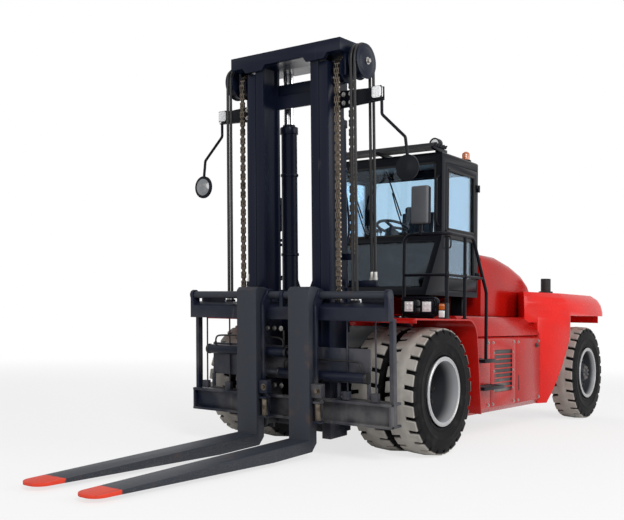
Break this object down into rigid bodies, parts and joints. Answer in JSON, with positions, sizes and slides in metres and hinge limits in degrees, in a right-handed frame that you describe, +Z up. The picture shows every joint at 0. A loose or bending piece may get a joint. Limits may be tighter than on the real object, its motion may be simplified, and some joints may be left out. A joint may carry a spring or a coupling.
{
  "type": "diesel forklift truck",
  "caption": "Heavy diesel counterbalance forklift with a tilting telescopic mast, sliding forks on a carriage, dual drive wheels, steered rear wheels, a cab with a door and a rear-hinged hood.",
  "frame": {"origin": "on the ground, midway between the fork tips and the rear end, on the centre plane", "axes": "+X forward towards the fork tips, +Y to the driver's left, +Z up"},
  "size_m": [8.3862, 2.68, 3.84],
  "materials": {
    "red_paint": "gloss",
    "red_casting": "gloss paint",
    "black_paint": "satin",
    "mast_paint": "satin",
    "fork_steel": "worn",
    "rim_silver": "satin",
    "chrome_rod": "polished",
    "chain_steel": "oiled",
    "frame_steel": "satin",
    "tyre_rubber": "matte",
    "hose_rubber": "matte",
    "seat_cloth": "woven",
    "cab_plastic": "grained",
    "window_glass": "clear",
    "lamp_white": "clear",
    "lamp_red": "clear",
    "beacon_amber": "clear"
  },
  "bodies": {
    "chassis": {"chassis_frame": "frame_steel", "drive_axle": "frame_steel", "steer_axle": "frame_steel", "engine_block": "frame_steel", "side_boxes": "red_paint", "front_fenders": "red_paint", "counterweight": "red_casting", "cab_shell": "black_paint", "cab_glass": "window_glass", "cab_mounts": "black_paint", "seat_base": "black_paint", "seat_cushion": "seat_cloth", "seat_back": "seat_cloth", "steering_column": "cab_plastic", "roof_guard": "black_paint", "beacon": "beacon_amber", "exhaust_stack": "black_paint", "handrails": "black_paint", "steps": "black_paint", "headlamps": "black_paint", "tail_lamps": "lamp_red", "tilt_brackets": "black_paint"},
    "hood": {"hood": "red_paint"},
    "cab_door": {"cab_door": "black_paint", "door_glass": "window_glass"},
    "mast_outer": {"mast_outer_frame": "mast_paint", "lift_barrels": "mast_paint", "lamp_arms": "black_paint", "mast_lamps": "lamp_white", "mast_mirrors": "black_paint", "chain_anchors": "mast_paint"},
    "mast_inner": {"mast_inner_frame": "mast_paint", "lift_rods": "chrome_rod", "sheaves": "mast_paint", "lift_chains": "chain_steel", "mast_hoses": "hose_rubber"},
    "carriage": {"carriage_frame": "mast_paint", "carriage_rollers": "mast_paint", "fork_shaft": "fork_steel", "positioner_barrels": "mast_paint"},
    "fork_left": {"fork_left": "fork_steel"},
    "fork_right": {"fork_right": "fork_steel"},
    "tilt_barrels": {"tilt_barrels": "mast_paint"},
    "tilt_rods": {"tilt_rods": "chrome_rod"},
    "drive_wheel_left": {"drive_tyres_left": "tyre_rubber", "drive_rims_left": "rim_silver"},
    "drive_wheel_right": {"drive_tyres_right": "tyre_rubber", "drive_rims_right": "rim_silver"},
    "knuckle_left": {"steer_knuckle_left": "frame_steel"},
    "knuckle_right": {"steer_knuckle_right": "frame_steel"},
    "steer_wheel_left": {"steer_tyre_left": "tyre_rubber", "steer_rim_left": "rim_silver"},
    "steer_wheel_right": {"steer_tyre_right": "tyre_rubber", "steer_rim_right": "rim_silver"}
  },
  "joints": [
    {"name": "mast_tilt", "type": "hinge", "parent": "chassis", "child": "mast_outer", "pos_m": [0.74685, 0, 0.6], "axis": [0, 1, 0], "range_deg": [-14.7, 3.3]},
    {"name": "mast_lift", "type": "slide", "parent": "mast_outer", "child": "mast_inner", "axis": [0.0471, 0, 0.9989], "range_m": [0, 2], "deforming": ["lift_chains", "mast_hoses"]},
    {"name": "carriage_lift", "type": "slide", "parent": "mast_inner", "child": "carriage", "axis": [0.0471, 0, 0.9989], "range_m": [0, 2], "deforming": ["lift_chains", "mast_hoses"]},
    {"name": "fork_left_shift", "type": "slide", "parent": "carriage", "child": "fork_left", "axis": [0, 1, 0], "range_m": [-0.12, 0.68]},
    {"name": "fork_right_shift", "type": "slide", "parent": "carriage", "child": "fork_right", "axis": [0, -1, 0], "range_m": [-0.12, 0.68]},
    {"name": "tilt_barrel_swing", "type": "hinge", "parent": "chassis", "child": "tilt_barrels", "pos_m": [0.00685, 0, 1.13], "axis": [0, 1, 0], "range_deg": [-8.07, 1.97]},
    {"name": "tilt_rod_slide", "type": "slide", "parent": "tilt_barrels", "child": "tilt_rods", "axis": [0.9721, 0, 0.2344], "range_m": [-0.1882, 0.0453]},
    {"name": "drive_wheel_left_spin", "type": "hinge", "parent": "chassis", "child": "drive_wheel_left", "pos_m": [0.74685, 0.9, 0.6], "axis": [0, 1, 0], "continuous": true},
    {"name": "drive_wheel_right_spin", "type": "hinge", "parent": "chassis", "child": "drive_wheel_right", "pos_m": [0.74685, -0.9, 0.6], "axis": [0, 1, 0], "continuous": true},
    {"name": "steer_left", "type": "hinge", "parent": "chassis", "child": "knuckle_left", "pos_m": [-3.33315, 0.8, 0.6], "axis": [0, 0, 1], "range_deg": [-55, 55]},
    {"name": "steer_right", "type": "hinge", "parent": "chassis", "child": "knuckle_right", "pos_m": [-3.33315, -0.8, 0.6], "axis": [0, 0, 1], "range_deg": [-55, 55]},
    {"name": "steer_wheel_left_spin", "type": "hinge", "parent": "knuckle_left", "child": "steer_wheel_left", "pos_m": [-3.33315, 1.06, 0.6], "axis": [0, 1, 0], "continuous": true},
    {"name": "steer_wheel_right_spin", "type": "hinge", "parent": "knuckle_right", "child": "steer_wheel_right", "pos_m": [-3.33315, -1.06, 0.6], "axis": [0, 1, 0], "continuous": true},
    {"name": "cab_door_hinge", "type": "hinge", "parent": "chassis", "child": "cab_door", "pos_m": [-0.93315, 0.767, 2.2], "axis": [0, 0, 1], "range_deg": [0, 85]},
    {"name": "hood_hinge", "type": "hinge", "parent": "chassis", "child": "hood", "pos_m": [-2.55815, 0, 1.65], "axis": [0, -1, 0], "range_deg": [0, 55]}
  ],
  "couplings": [
    {"joint": "carriage_lift", "follows": "mast_lift", "ratio": 1},
    {"joint": "tilt_barrel_swing", "follows": "mast_tilt", "ratio": 0.53514},
    {"joint": "tilt_rod_slide", "follows": "mast_tilt", "m_per_rad": 0.71786},
    {"joint": "steer_right", "follows": "steer_left", "ratio": 1}
  ]
}
